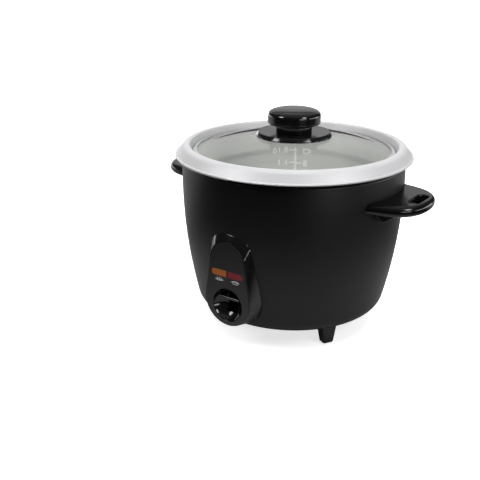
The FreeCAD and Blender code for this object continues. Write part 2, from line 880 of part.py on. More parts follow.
def sensor_spring():
    low = frame_top() + spring_wire_radius + 0.05
    length = sensor_flange_bottom() - frame_top()
    turns = 2
    pitch = (length - 2 * spring_wire_radius - 0.1) / turns
    return coil(sensor_radius + 1.5, spring_wire_radius, turns, pitch, V(0, 0, low))


def magnet_top():
    return heater_top - sensor_wall - ferrite_thickness - cook_lift - 0.25


def cup_bottom():
    return magnet_top() - magnet_thickness - cup_wall


def magnet():
    return drum(magnet_radius, magnet_thickness, V(0, 0, magnet_top() - magnet_thickness))


def collar_bottom():
    return pivot_height + arm_thickness / 2 + plunger_play


def magnet_plunger():
    """Steel cup under the magnet, with the stem and the collar that the arm's fork lifts."""
    cup_low = cup_bottom()
    stem_low = pivot_height - arm_thickness / 2 - plunger_play - 3.0
    cup = drum(magnet_radius + cup_wall, magnet_thickness, V(0, 0, cup_low))
    cup = cup.cut(drum(magnet_radius, magnet_thickness, V(0, 0, cup_low + cup_wall)))
    stem = drum(plunger_stem_radius, cup_low - stem_low, V(0, 0, stem_low))
    collar = drum(collar_radius, 1.5, V(0, 0, collar_bottom()))
    return cup.fuse(stem).fuse(collar).removeSplitter()


def plunger_clip():
    """Spring clip that keeps the fork on the stem from below."""
    top = pivot_height - arm_thickness / 2 - plunger_play
    ring = drum(collar_radius, 1.0, V(0, 0, top - 1.0))
    return ring.cut(drum(plunger_stem_radius, 1.0, V(0, 0, top - 1.0)))


def under_heater(angle):
    """Place under the heater plate, inside the element's ring, at an angle in degrees."""
    reach = element_inner_radius - thermal_inset
    turn = math.radians(angle)
    return V(reach * math.cos(turn), reach * math.sin(turn), heater_bottom)


def fuse_way():
    """Direction of the fuse, which lies along the ring and points to the rear."""
    turn = math.radians(fuse_angle)
    return V(math.sin(turn), -math.cos(turn), 0)


def fuse_end(share):
    """Point on the fuse's axis; -1 and 1 are its two ends."""
    along = fuse_way().multiply(share * fuse_length / 2)
    return under_heater(fuse_angle).add(along).sub(V(0, 0, fuse_radius + 0.05))


def thermal_fuse():
    return drum(fuse_radius, fuse_length, fuse_end(-1), fuse_way())


def fuse_clip():
    wide = fuse_radius + ear_thickness
    deep = 2 * fuse_radius + 0.1 + ear_thickness
    hollow = fuse_radius + 0.05
    strap = block(-wide, wide, -fuse_length / 4, fuse_length / 4, -deep, 0)
    strap = strap.cut(block(-hollow, hollow, -fuse_length, fuse_length, -2 * hollow, 0))
    strap = turned(strap, fuse_angle)
    strap.translate(under_heater(fuse_angle))
    return strap


def warm_thermostat():
    place = under_heater(thermostat_angle)
    body = drum(thermostat_radius, 3.0, place, V(0, 0, -1))
    return body.fuse(drum(thermostat_radius - 1.5, 9.0, place, V(0, 0, -1))).removeSplitter()


def inlet_body(grow):
    half = inlet_width / 2 + grow
    tall = inlet_tall / 2 + grow
    return block(-half, half, inlet_face - inlet_depth, inlet_face, inlet_height - tall, inlet_height + tall)


def inlet_socket():
    half = inlet_width / 2 + inlet_flange + 3
    tall = inlet_tall / 2 + inlet_flange - 1
    plate = block(-half, half, inlet_face - inlet_flange_depth, inlet_face,
                  inlet_height - tall, inlet_height + tall)
    upright = [e for e in plate.Edges if e.BoundBox.YLength > 5]
    plate = plate.makeFillet(inlet_flange, upright)
    front = [e for e in plate.Edges if e.BoundBox.YMin > inlet_face - 0.1]
    plate = plate.makeFillet(1.0, front)
    socket = plate.cut(SHELL_BODY).fuse(inlet_body(0))
    cavity = block(-socket_width / 2, socket_width / 2, inlet_face - socket_depth, inlet_face + 1,
                   inlet_height - socket_tall / 2, inlet_height + socket_tall / 2)
    edges = [e for e in cavity.Edges if e.BoundBox.YLength > 5]
    cavity = cavity.makeFillet(2.0, edges)
    socket = socket.cut(cavity)
    for place in blade_places():
        socket = socket.cut(blade(place))
    for place in inlet_screw_places():
        socket = socket.cut(drum(screw_radius, 30, V(place.x, place.y + 1, place.z), V(0, -1, 0)))
    return socket.removeSplitter()


def blade_places():
    half = blade_pitch / 2
    return [(-half, inlet_height - 1.5), (0.0, inlet_height + 2.5), (half, inlet_height - 1.5)]


def blade(place):
    x, z = place
    back = inlet_face - inlet_depth - 4
    return block(x - blade_thickness / 2, x + blade_thickness / 2, back, inlet_face - 3,
                 z - blade_width / 2, z + blade_width / 2)


def inlet_pins():
    return group([blade(place) for place in blade_places()])


def inlet_screw_places():
    x = inlet_width / 2 + inlet_flange
    return [V(side * x, inlet_face, inlet_height) for side in (-1, 1)]


def inlet_screws():
    return group([screw(place, V(0, 1, 0), 8) for place in inlet_screw_places()])


def lead_start(index):
    x, z = blade_places()[index]
    return V(x, inlet_face - inlet_depth - 4, z)


def lead_live():
    start = lead_start(0)
    end = fuse_end(1)
    near = end.add(fuse_way().multiply(9))
    below = V(near.x, near.y + 11, start.z)
    points = [start, V(start.x, start.y - 12, start.z), below, near, end]
    return tube(points, [lead_bend] * 3, lead_radius)


def lead_neutral():
    start = lead_start(2)
    end = element_ends()[1].sub(V(0, 0, element_terminal_drop))
    points = [start, V(start.x, end.y + 1.5, start.z), V(end.x, end.y, end.z - 3.5), end]
    return tube(points, [2.0, 1.5], lead_radius)


def lead_earth():
    start = lead_start(1)
    reach = start.y - lead_bend - lead_radius
    end = V(-20, reach, liner_under)
    points = [start, V(start.x, reach, start.z), V(end.x, reach, start.z + 0.5), end]
    return tube(points, [3.0, 3.0], lead_radius)


def inner_pot():
    crown_top = seat_height + seat_wall_height
    crown_in = seat_radius + 3.3
    inside = [V(0, 0, pot_floor), V(pot_radius, 0, pot_floor), V(pot_radius, 0, seat_height),
              V(seat_radius, 0, seat_height), V(crown_in - 1.5, 0, crown_top),
              V(crown_in + flange_crown_width, 0, crown_top),
              V(rim_radius - bead_radius + 0.4, 0, rim_edge_height + bead_radius)]
    line = rounded_path(inside, [pot_corner_radius, 2.0, 1.5, 2.0, 7.5])
    pot = spin(sheet_profile(line, -pot_wall))
    bead = Part.makeTorus(rim_radius - bead_radius, bead_radius, V(0, 0, rim_edge_height + bead_radius))
    return pot.fuse(bead).removeSplitter()


def dome_height(radius, grow):
    """Height of the glass's top face at a radius, raised by grow."""
    edge = glass_edge_radius()
    sag_edge = glass_dome_radius - math.sqrt(glass_dome_radius ** 2 - edge ** 2)
    sag = glass_dome_radius - math.sqrt(glass_dome_radius ** 2 - radius ** 2)
    return seat_height + band_floor + glass_thickness + sag_edge - sag + grow


band_floor = 0.85


def glass_edge_radius():
    return seat_radius - lid_edge_gap - band_wall


def dome_face(inner, outer, low, high):
    """Section between two copies of the dome, raised by low and high, from inner to outer radius."""
    def arc(grow):
        ends = [V(r, 0, dome_height(r, grow)) for r in (inner, (inner + outer) / 2, outer)]
        return Part.Arc(ends[0], ends[1], ends[2]).toShape()

    def side(radius):
        return Part.makeLine(V(radius, 0, dome_height(radius, low)), V(radius, 0, dome_height(radius, high)))

    return Part.Face(Part.Wire(Part.__sortEdges__([arc(low), side(outer), arc(high), side(inner)])))


def lid_glass():
    return spin(dome_face(knob_screw_radius + 1.0, glass_edge_radius(), -glass_thickness, 0))


def lid_band():
    outer = glass_edge_radius() + band_wall
    inner = outer - band_lip
    low = seat_height
    band = spin_points([(inner, low), (outer, low), (outer, dome_height(outer, 0.6)),
                        (outer - 0.8, dome_height(outer - 0.8, 0.9)), (inner, dome_height(inner, 0.9))])
    return band.cut(lid_glass())


def skirt_edge():
    return dome_height(knob_skirt_radius, gasket_thickness)


def skirt_top():
    return skirt_edge() + knob_skirt_height


def knob_skirt():
    inner = knob_screw_radius + 1.0
    low = dome_face(inner, knob_skirt_radius, gasket_thickness, gasket_thickness + 30)
    top = skirt_top()
    trim = spin_points([(0, 0), (knob_skirt_radius, 0), (knob_skirt_radius, skirt_edge() + 0.6),
                        (knob_skirt_radius - knob_skirt_bevel, top), (0, top)])
    return spin(low).common(trim)


def knob_gasket():
    return spin(dome_face(knob_screw_radius + 1.0, knob_skirt_radius - 2.0,
                          gasket_gap, gasket_thickness - gasket_gap))


def lid_knob():
    low = skirt_top()
    under = low + knob_neck_height
    edge = under + knob_underside_drop
    side_top = edge + knob_cap_side
    crown = side_top + knob_crown
    r = knob_cap_radius
    edges = [Part.makeLine(V(0, 0, low), V(knob_neck_radius, 0, low)),
             Part.makeLine(V(knob_neck_radius, 0, low), V(knob_neck_radius, 0, under)),
             Part.makeLine(V(knob_neck_radius, 0, under), V(r - 2, 0, edge - 0.6)),
             Part.Arc(V(r - 2, 0, edge - 0.6), V(r - 0.4, 0, edge), V(r, 0, edge + 1.4)).toShape(),
             Part.makeLine(V(r, 0, edge + 1.4), V(r, 0, side_top)),
             curve([V(r, 0, side_top), V(r, 0, side_top + knob_crown * knob_shoulder),
                    V(r * knob_flat, 0, crown), V(0, 0, crown)]),
             Part.makeLine(V(0, 0, crown), V(0, 0, low))]
    knob = spin(Part.Wire(edges))
    return knob.cut(drum(knob_screw_radius, knob_screw_reach(), V(0, 0, low)))


def knob_screw_reach():
    return 8.0


def glass_under():
    return dome_height(washer_radius, -glass_thickness)


def knob_washer():
    low = glass_under() - 1.2
    disc = drum(washer_radius, 1.2, V(0, 0, low - 0.05))
    return disc.cut(drum(knob_screw_radius, 1.2, V(0, 0, low - 0.05)))


def knob_screw():
    low = glass_under() - 1.25
    shank = skirt_top() + knob_screw_reach() - low
    head = drum(4.0, 2.2, V(0, 0, low - 2.2))
    return head.fuse(drum(knob_screw_radius, shank, V(0, 0, low))).removeSplitter()


NODES = {
    "outer_shell": outer_shell, "inner_liner": inner_liner,
    "base_plate": base_plate, "base_screws": base_screws,
    "foot_right": lambda: foot(foot_angles()[0]), "foot_rear": lambda: foot(foot_angles()[1]),
    "foot_left": lambda: foot(foot_angles()[2]), "foot_screws": foot_screws,
    "handle_left": lambda: handle(-1), "handle_right": lambda: handle(1), "handle_screws": handle_screws,
    "control_panel": control_panel, "panel_overlay": panel_overlay, "panel_screws": panel_screws,
    "warm_lens": lambda: lens(-1), "cook_lens": lambda: lens(1),
    "warm_lamp": lambda: bulb(-1), "cook_lamp": lambda: bulb(1), "lamp_holder": lamp_holder,
    "heater_plate": heater_plate, "heating_element": heating_element,
    "heater_spacers": heater_spacers, "heater_screws": heater_screws,
    "thermostat_frame": thermostat_frame, "frame_screws": frame_screws,
    "sensor_cap": sensor_cap, "ferrite_disc": ferrite_disc, "sensor_spring": sensor_spring,
    "magnet": magnet, "magnet_plunger": magnet_plunger, "plunger_clip": plunger_clip,
    "cook_lever": cook_lever, "lever_arm": lever_arm, "lever_rivets": lever_rivets,
    "lever_bracket": lever_bracket, "bracket_screws": bracket_screws, "lever_pin": lever_pin,
    "lever_spring": lever_spring, "micro_switch": micro_switch,
    "thermal_fuse": thermal_fuse, "fuse_clip": fuse_clip, "warm_thermostat": warm_thermostat,
    "inlet_socket": inlet_socket, "inlet_pins": inlet_pins, "inlet_screws": inlet_screws,
    "lead_live": lead_live, "lead_neutral": lead_neutral, "lead_earth": lead_earth,
    "inner_pot": inner_pot, "lid_glass": lid_glass, "lid_band": lid_band, "lid_knob": lid_knob,
    "knob_skirt": knob_skirt, "knob_gasket": knob_gasket,
    "knob_washer": knob_washer, "knob_screw": knob_screw,
}

os.makedirs("parts", exist_ok=True)
for name, make in NODES.items():
    shape = make()
    state = "valid" if shape.isValid() else "NOT VALID"
    print(name, shape.ShapeType, len(shape.Solids), state, round(shape.Volume, 1))
    shape.exportStep("parts/" + name + ".step")
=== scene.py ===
# %% [markdown]
# # Dressing a black rice cooker
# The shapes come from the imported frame, so this lesson is about looks: paint, spun aluminium,
# moulded plastic, lid glass, the small prints, and the light of a plain product studio.
# Nothing of the frame is moved. Each step says what a finish is and how it can be built.

# %% Load the frame
import json
import math

import bmesh
import bpy
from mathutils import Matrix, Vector


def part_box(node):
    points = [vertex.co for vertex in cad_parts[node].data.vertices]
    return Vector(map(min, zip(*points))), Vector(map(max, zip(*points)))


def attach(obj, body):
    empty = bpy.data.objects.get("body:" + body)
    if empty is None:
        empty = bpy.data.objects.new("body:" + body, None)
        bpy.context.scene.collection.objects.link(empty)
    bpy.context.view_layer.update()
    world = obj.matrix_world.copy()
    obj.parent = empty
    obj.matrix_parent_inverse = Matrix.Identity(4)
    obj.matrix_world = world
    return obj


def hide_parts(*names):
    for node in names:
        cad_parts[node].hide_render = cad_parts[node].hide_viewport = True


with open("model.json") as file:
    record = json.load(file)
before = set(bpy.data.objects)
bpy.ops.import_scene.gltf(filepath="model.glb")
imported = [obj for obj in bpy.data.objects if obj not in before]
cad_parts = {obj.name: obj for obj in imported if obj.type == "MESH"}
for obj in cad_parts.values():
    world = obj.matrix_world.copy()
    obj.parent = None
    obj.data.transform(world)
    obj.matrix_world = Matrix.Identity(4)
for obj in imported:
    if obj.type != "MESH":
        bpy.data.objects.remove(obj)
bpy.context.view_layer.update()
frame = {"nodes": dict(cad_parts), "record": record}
nodes = frame["nodes"]
MM = 0.001

# %% [markdown]
# ## A small kit for shader nodes
# Every finish below is a Principled surface fed by textures in the object's own coordinates.
# Small helpers keep the graphs readable: they add a node, join two sockets, set constants, open
# a named group, and do a sum on sockets or plain numbers.


# %% Node helpers
def add_node(tree, kind, place, **values):
    node = tree.nodes.new(kind)
    node.location = place
    for key, value in values.items():
        setattr(node, key, value)
    return node


def join(tree, start, end):
    tree.links.new(start, end)


def set_inputs(node, values):
    for key, value in values.items():
        node.inputs[key].default_value = value


def new_group(name, inputs, outputs):
    """Shader node group with float inputs (name, default) and named outputs."""
    tree = bpy.data.node_groups.new(name, "ShaderNodeTree")
    for title, default in inputs:
        socket = tree.interface.new_socket(title, in_out="INPUT", socket_type="NodeSocketFloat")
        socket.default_value = default
    for title in outputs:
        tree.interface.new_socket(title, in_out="OUTPUT", socket_type="NodeSocketFloat")
    return tree, add_node(tree, "NodeGroupInput", (-900, 0)), add_node(tree, "NodeGroupOutput", (700, 0))


def math_node(tree, operation, place, first, second):
    """Math node; each side is a socket or a number."""
    node = add_node(tree, "ShaderNodeMath", place, operation=operation)
    for index, side in enumerate((first, second)):
        if isinstance(side, (int, float)):
            node.inputs[index].default_value = side
        else:
            join(tree, side, node.inputs[index])
    return node.outputs[0]


# %% [markdown]
# ## Fine grain, shared by paint and plastic
# Sprayed paint and moulded plastic both have a skin of tiny bumps, and years of handling leave
# faint smudges that change the gloss more than the colour. The group gives a roughness and a
# height, so each finish only chooses how coarse and how strong they are.


# %% Grain group
def make_grain_group():
    tree, source, sink = new_group(
        "fine_grain",
        [("Scale", 1500.0), ("Roughness", 0.4), ("Spread", 0.1), ("Smudge", 0.05)],
        ["Roughness", "Height", "Tint"],
    )
    place = add_node(tree, "ShaderNodeTexCoord", (-900, -260))
    grain = add_node(tree, "ShaderNodeTexNoise", (-600, 160))
    set_inputs(grain, {"Detail": 3.0, "Roughness": 0.6})
    join(tree, place.outputs["Object"], grain.inputs["Vector"])
    join(tree, source.outputs["Scale"], grain.inputs["Scale"])
    smudge = add_node(tree, "ShaderNodeTexNoise", (-600, -220))
    set_inputs(smudge, {"Scale": 26.0, "Detail": 4.0, "Roughness": 0.55, "Distortion": 0.6})
    join(tree, place.outputs["Object"], smudge.inputs["Vector"])
    centred = math_node(tree, "SUBTRACT", (-380, 160), grain.outputs[0], 0.5)
    spread = math_node(tree, "MULTIPLY", (-200, 160), centred, source.outputs["Spread"])
    rub = math_node(tree, "SUBTRACT", (-380, -220), smudge.outputs[0], 0.5)
    rub = math_node(tree, "MULTIPLY", (-200, -220), rub, source.outputs["Smudge"])
    total = math_node(tree, "ADD", (0, 60), spread, rub)
    total = math_node(tree, "ADD", (180, 60), total, source.outputs["Roughness"])
    join(tree, total, sink.inputs["Roughness"])
    join(tree, grain.outputs[0], sink.inputs["Height"])
    join(tree, smudge.outputs[0], sink.inputs["Tint"])
    return tree


GRAIN = make_grain_group()
print("group", GRAIN.name, len(GRAIN.nodes), "nodes")

# %% [markdown]
# ## Spun metal, shared by the pot, the lid band and the heater
# A pot is spun: sheet turns on a lathe while a tool presses it against a form. The marks run
# round the axis, so the texture is read in radius, height and a slow angle instead of x, y, z.


# %% Spun group
def make_spun_group():
    tree, source, sink = new_group(
        "spun_metal",
        [("Lines", 900.0), ("Roughness", 0.3), ("Spread", 0.1), ("Stain", 0.05)],
        ["Roughness", "Height", "Tint"],
    )
    place = add_node(tree, "ShaderNodeTexCoord", (-1500, -100))
    parts = add_node(tree, "ShaderNodeSeparateXYZ", (-1320, -100))
    join(tree, place.outputs["Object"], parts.inputs[0])
    square_x = math_node(tree, "MULTIPLY", (-1140, 60), parts.outputs[0], parts.outputs[0])
    square_y = math_node(tree, "MULTIPLY", (-1140, -100), parts.outputs[1], parts.outputs[1])
    both = math_node(tree, "ADD", (-980, 0), square_x, square_y)
    radius = math_node(tree, "SQRT", (-820, 0), both, 0.0)
    angle = math_node(tree, "ARCTAN2", (-1140, -280), parts.outputs[1], parts.outputs[0])
    slow = math_node(tree, "MULTIPLY", (-980, -280), angle, 0.0012)
    turned = add_node(tree, "ShaderNodeCombineXYZ", (-640, -60))
    join(tree, radius, turned.inputs[0])
    join(tree, parts.outputs[2], turned.inputs[1])
    join(tree, slow, turned.inputs[2])
    lines = add_node(tree, "ShaderNodeTexNoise", (-440, 120))
    set_inputs(lines, {"Detail": 4.0, "Roughness": 0.7})
    join(tree, turned.outputs[0], lines.inputs["Vector"])
    join(tree, source.outputs["Lines"], lines.inputs["Scale"])
    stain = add_node(tree, "ShaderNodeTexNoise", (-440, -200))
    set_inputs(stain, {"Scale": 18.0, "Detail": 5.0, "Roughness": 0.5})
    join(tree, place.outputs["Object"], stain.inputs["Vector"])
    fine = math_node(tree, "SUBTRACT", (-240, 120), lines.outputs[0], 0.5)
    fine = math_node(tree, "MULTIPLY", (-80, 120), fine, source.outputs["Spread"])
    wide = math_node(tree, "SUBTRACT", (-240, -200), stain.outputs[0], 0.5)
    wide = math_node(tree, "MULTIPLY", (-80, -200), wide, source.outputs["Stain"])
    total = math_node(tree, "ADD", (100, 0), fine, wide)
    total = math_node(tree, "ADD", (260, 0), total, source.outputs["Roughness"])
    join(tree, total, sink.inputs["Roughness"])
    join(tree, lines.outputs[0], sink.inputs["Height"])
    join(tree, stain.outputs[0], sink.inputs["Tint"])
    return tree


SPUN = make_spun_group()
print("group", SPUN.name, len(SPUN.nodes), "nodes")


# %% [markdown]
# ## One recipe, many finishes
# A finish is two close colours that the tint moves between, a roughness, a bump and a metal share.
# Small rounded edges catch light on every real moulding, so a bevel in the shading normal
# softens the sharp corners that the frame leaves square.


# %% Finish recipe
def finish_material(name, dark, light, texture, settings, metal=0.0, bump=0.1, bump_mm=0.02, coat=0.0,
                    specular=0.5, edge_mm=0.0):
    material = bpy.data.materials.new(name)
    material.use_nodes = True
    tree = material.node_tree
    surface = tree.nodes["Principled BSDF"]
    surface.location = (300, 0)
    group = add_node(tree, "ShaderNodeGroup", (-500, 0), node_tree=texture)
    set_inputs(group, settings)
    mix = add_node(tree, "ShaderNodeMix", (-200, 200), data_type="RGBA")
    mix.inputs["A"].default_value = (*dark, 1.0)
    mix.inputs["B"].default_value = (*light, 1.0)
    join(tree, group.outputs["Tint"], mix.inputs["Factor"])
    join(tree, mix.outputs["Result"], surface.inputs["Base Color"])
    join(tree, group.outputs["Roughness"], surface.inputs["Roughness"])
    relief = add_node(tree, "ShaderNodeBump", (0, -260))
    set_inputs(relief, {"Strength": bump, "Distance": bump_mm * MM})
    join(tree, group.outputs["Height"], relief.inputs["Height"])
    if edge_mm:
        edge = add_node(tree, "ShaderNodeBevel", (-220, -360), samples=6)
        edge.inputs["Radius"].default_value = edge_mm * MM
        join(tree, edge.outputs[0], relief.inputs["Normal"])
    join(tree, relief.outputs[0], surface.inputs["Normal"])
    set_inputs(surface, {"Metallic": metal, "Coat Weight": coat, "Coat Roughness": 0.05,
                         "Specular IOR Level": specular})
    return material


def grain(scale, roughness, spread, smudge):
    return GRAIN, {"Scale": scale, "Roughness": roughness, "Spread": spread, "Smudge": smudge}


def spun(lines, roughness, spread, stain):
    return SPUN, {"Lines": lines, "Roughness": roughness, "Spread": spread, "Stain": stain}


FINISH = {
    "body_paint": finish_material("body_paint", (0.0034, 0.0034, 0.0033), (0.0046, 0.0046, 0.0044),
                                  *grain(1400.0, 0.40, 0.10, 0.05), bump=0.14, specular=0.34),
    "handle_plastic": finish_material("handle_plastic", (0.0028, 0.0028, 0.0028), (0.0042, 0.0042, 0.0041),
                                      *grain(1800.0, 0.17, 0.06, 0.08), bump=0.05, edge_mm=0.6),
    "foot_plastic": finish_material("foot_plastic", (0.0065, 0.0065, 0.0067), (0.0100, 0.0100, 0.0103),
                                    *grain(1500.0, 0.40, 0.12, 0.08), bump=0.15, edge_mm=0.5),
    "panel_gloss": finish_material("panel_gloss", (0.0035, 0.0035, 0.0038), (0.0055, 0.0055, 0.0060),
                                   *grain(900.0, 0.12, 0.03, 0.05), bump=0.03, coat=0.2, edge_mm=0.7),
    "skirt_gloss": finish_material("skirt_gloss", (0.0035, 0.0035, 0.0038), (0.0055, 0.0055, 0.0060),
                                   *grain(900.0, 0.13, 0.03, 0.05), bump=0.03, coat=0.2, edge_mm=2.6),
    "panel_film": finish_material("panel_film", (0.0085, 0.0088, 0.0088), (0.0110, 0.0114, 0.0114),
                                  *grain(3200.0, 0.34, 0.12, 0.04), bump=0.16, edge_mm=0.2),
    "holder_plastic": finish_material("holder_plastic", (0.0080, 0.0080, 0.0082), (0.0120, 0.0120, 0.0124),
                                      *grain(1500.0, 0.38, 0.12, 0.06), bump=0.15, edge_mm=0.4),
    "gasket_rubber": finish_material("gasket_rubber", (0.030, 0.030, 0.030), (0.045, 0.045, 0.045),
                                     *grain(1600.0, 0.62, 0.12, 0.05), bump=0.2),
    "ferrite": finish_material("ferrite", (0.020, 0.020, 0.021), (0.034, 0.034, 0.036),
                               *grain(2200.0, 0.55, 0.15, 0.05), bump=0.3),
    "ceramic_body": finish_material("ceramic_body", (0.62, 0.60, 0.54), (0.72, 0.70, 0.65),
                                    *grain(900.0, 0.45, 0.10, 0.05), bump=0.1),
    "pot_aluminium": finish_material("pot_aluminium", (0.61, 0.61, 0.62), (0.67, 0.67, 0.68),
                                     *spun(1600.0, 0.52, 0.12, 0.05), metal=0.35, bump=0.05),
    "cast_aluminium": finish_material("cast_aluminium", (0.42, 0.42, 0.42), (0.52, 0.52, 0.52),
                                      *spun(700.0, 0.38, 0.20, 0.14), metal=1.0, bump=0.25, edge_mm=0.5),
    "sensor_aluminium": finish_material("sensor_aluminium", (0.60, 0.60, 0.60), (0.68, 0.68, 0.68),
                                        *spun(1200.0, 0.30, 0.12, 0.08), metal=1.0, bump=0.1, edge_mm=0.3),
    "liner_metal": finish_material("liner_metal", (0.40, 0.40, 0.40), (0.50, 0.50, 0.50),
                                   *spun(900.0, 0.36, 0.14, 0.12), metal=1.0, bump=0.08, edge_mm=0.3),
    "base_metal": finish_material("base_metal", (0.30, 0.30, 0.30), (0.40, 0.40, 0.40),
                                  *grain(700.0, 0.40, 0.16, 0.16), metal=0.9, bump=0.1, edge_mm=0.3),
    "element_steel": finish_material("element_steel", (0.20, 0.19, 0.18), (0.30, 0.28, 0.25),
                                     *spun(900.0, 0.45, 0.15, 0.15), metal=1.0, bump=0.1),
    "bracket_steel": finish_material("bracket_steel", (0.42, 0.42, 0.41), (0.52, 0.52, 0.50),
                                     *grain(800.0, 0.34, 0.14, 0.14), metal=1.0, bump=0.08, edge_mm=0.3),
    "screw_steel": finish_material("screw_steel", (0.46, 0.46, 0.47), (0.56, 0.56, 0.57),
                                   *grain(1500.0, 0.26, 0.12, 0.10), metal=1.0, bump=0.06, edge_mm=0.3),
    "spring_steel": finish_material("spring_steel", (0.40, 0.40, 0.40), (0.50, 0.50, 0.50),
                                    *grain(1500.0, 0.25, 0.10, 0.10), metal=1.0, bump=0.05),
    "pin_brass": finish_material("pin_brass", (0.58, 0.46, 0.22), (0.70, 0.57, 0.30),
                                 *grain(1400.0, 0.24, 0.10, 0.10), metal=1.0, bump=0.05, edge_mm=0.3),
    "band_steel": finish_material("band_steel", (0.56, 0.56, 0.57), (0.64, 0.64, 0.65),
                                  *spun(1800.0, 0.30, 0.08, 0.05), metal=0.5, bump=0.04, edge_mm=0.3),
    "print_white": finish_material("print_white", (0.82, 0.82, 0.82), (0.90, 0.90, 0.90),
                                   *grain(2500.0, 0.45, 0.10, 0.05), bump=0.05),
    "print_silver": finish_material("print_silver", (0.93, 0.93, 0.92), (0.97, 0.97, 0.96),
                                    *grain(2500.0, 0.50, 0.10, 0.05), bump=0.05),
}
print("finishes", len(FINISH))

# %% [markdown]
# ## Lamp lenses
# Each lens is a bar of tinted clear plastic with ribs on the back that spread the little lamp's
# light. Unlit, it reads as a deep colour under a gloss skin, so the ribs go into the bump
# and into two tones of one hue.


# %% Lens material
def lens_material(name, deep, bright):
    material = bpy.data.materials.new(name)
    material.use_nodes = True
    tree = material.node_tree
    surface = tree.nodes["Principled BSDF"]
    place = add_node(tree, "ShaderNodeTexCoord", (-900, 0))
    ribs = add_node(tree, "ShaderNodeTexWave", (-650, 120), wave_type="BANDS", bands_direction="X")
    set_inputs(ribs, {"Scale": 180.0, "Distortion": 0.0})
    join(tree, place.outputs["Object"], ribs.inputs["Vector"])
    cloud = add_node(tree, "ShaderNodeTexNoise", (-650, -180))
    set_inputs(cloud, {"Scale": 160.0, "Detail": 3.0})
    join(tree, place.outputs["Object"], cloud.inputs["Vector"])
    share = math_node(tree, "MULTIPLY", (-420, 60), ribs.outputs["Fac"], 0.35)
    blot = math_node(tree, "MULTIPLY", (-420, -180), cloud.outputs[0], 0.65)
    share = math_node(tree, "ADD", (-250, 0), share, blot)
    mix = add_node(tree, "ShaderNodeMix", (-60, 160), data_type="RGBA")
    mix.inputs["A"].default_value = (*deep, 1.0)
    mix.inputs["B"].default_value = (*bright, 1.0)
    join(tree, share, mix.inputs["Factor"])
    join(tree, mix.outputs["Result"], surface.inputs["Base Color"])
    relief = add_node(tree, "ShaderNodeBump", (0, -260))
    set_inputs(relief, {"Strength": 0.08, "Distance": 0.1 * MM})
    join(tree, ribs.outputs["Fac"], relief.inputs["Height"])
    join(tree, relief.outputs[0], surface.inputs["Normal"])
    set_inputs(surface, {"Roughness": 0.32, "Coat Weight": 0.3, "Coat Roughness": 0.1,
                         "Specular IOR Level": 0.4})
    return material


FINISH["lens_amber"] = lens_material("lens_amber", (0.30, 0.075, 0.008), (0.42, 0.115, 0.014))
FINISH["lens_red"] = lens_material("lens_red", (0.13, 0.005, 0.009), (0.22, 0.009, 0.015))
print("lenses", FINISH["lens_amber"].name, FINISH["lens_red"].name)

# %% [markdown]
# ## Glass for the lid and the lamp bulbs
# Tempered lid glass is clear with a slight green. A light path switch lets shadow rays pass with
# a little loss, which is what light does in a thin sheet, so the pot inside stays lit.


# %% Glass material
def glass_material(name, tint, shade, roughness):
    material = bpy.data.materials.new(name)
    material.use_nodes = True
    tree = material.node_tree
    surface = tree.nodes["Principled BSDF"]
    output = tree.nodes["Material Output"]
    output.location = (900, 0)
    place = add_node(tree, "ShaderNodeTexCoord", (-700, 0))
    film = add_node(tree, "ShaderNodeTexNoise", (-450, 0))
    set_inputs(film, {"Scale": 40.0, "Detail": 4.0})
    join(tree, place.outputs["Object"], film.inputs["Vector"])
    haze = math_node(tree, "MULTIPLY", (-250, 0), film.outputs[0], roughness)
    join(tree, haze, surface.inputs["Roughness"])
    set_inputs(surface, {"Base Color": (*tint, 1.0), "Transmission Weight": 1.0, "IOR": 1.47})
    clear = add_node(tree, "ShaderNodeBsdfTransparent", (300, -300))
    clear.inputs[0].default_value = (*shade, 1.0)
    path = add_node(tree, "ShaderNodeLightPath", (300, 300))
    switch = add_node(tree, "ShaderNodeMixShader", (650, 0))
    join(tree, path.outputs["Is Shadow Ray"], switch.inputs[0])
    join(tree, surface.outputs[0], switch.inputs[1])
    join(tree, clear.outputs[0], switch.inputs[2])
    join(tree, switch.outputs[0], output.inputs["Surface"])
    return material


FINISH["lid_glass"] = glass_material("lid_glass", (0.885, 0.897, 0.862), (0.76, 0.77, 0.745), 0.03)
FINISH["lamp_glass"] = glass_material("lamp_glass", (0.97, 0.97, 0.96), (0.9, 0.9, 0.9), 0.04)
print("glass", FINISH["lid_glass"].name, FINISH["lamp_glass"].name)

# %% [markdown]
# ## Assign the finishes
# The record already says which slot each piece takes, so the script reads it instead of
# repeating the list. The three leads get the colours that tell live, neutral and earth apart,
# and the knob's skirt gets a gloss with a wider soft edge.

# %% Assign by slot
LEADS = {
    "lead_live": (0.14, 0.055, 0.025),
    "lead_neutral": (0.025, 0.06, 0.20),
    "lead_earth": (0.20, 0.26, 0.03),
}
PALER = 1.25
OWN_FINISH = {"knob_skirt": "skirt_gloss"}
for name, colour in LEADS.items():
    OWN_FINISH[name] = name
    paler = tuple(min(1.0, c * PALER) for c in colour)
    FINISH[name] = finish_material(name, colour, paler, *grain(1200.0, 0.45, 0.10, 0.05), bump=0.1)


def dress(piece, finish):
    piece.data.materials.clear()
    piece.data.materials.append(FINISH[finish])


for entry in frame["record"]["subparts"]:
    node = entry["node"]
    dress(nodes[node], OWN_FINISH.get(node, entry["material_slot"]))


# %% [markdown]
# ## Prints
# Marks on a panel or a pot are thin films of ink. Here each one is a thin closed mesh that
# stands a twentieth of a millimetre off its surface, with plain signs instead of words.


# %% Print helpers
INK = 0.05 * MM
PRINT_GAP = 0.01 * MM


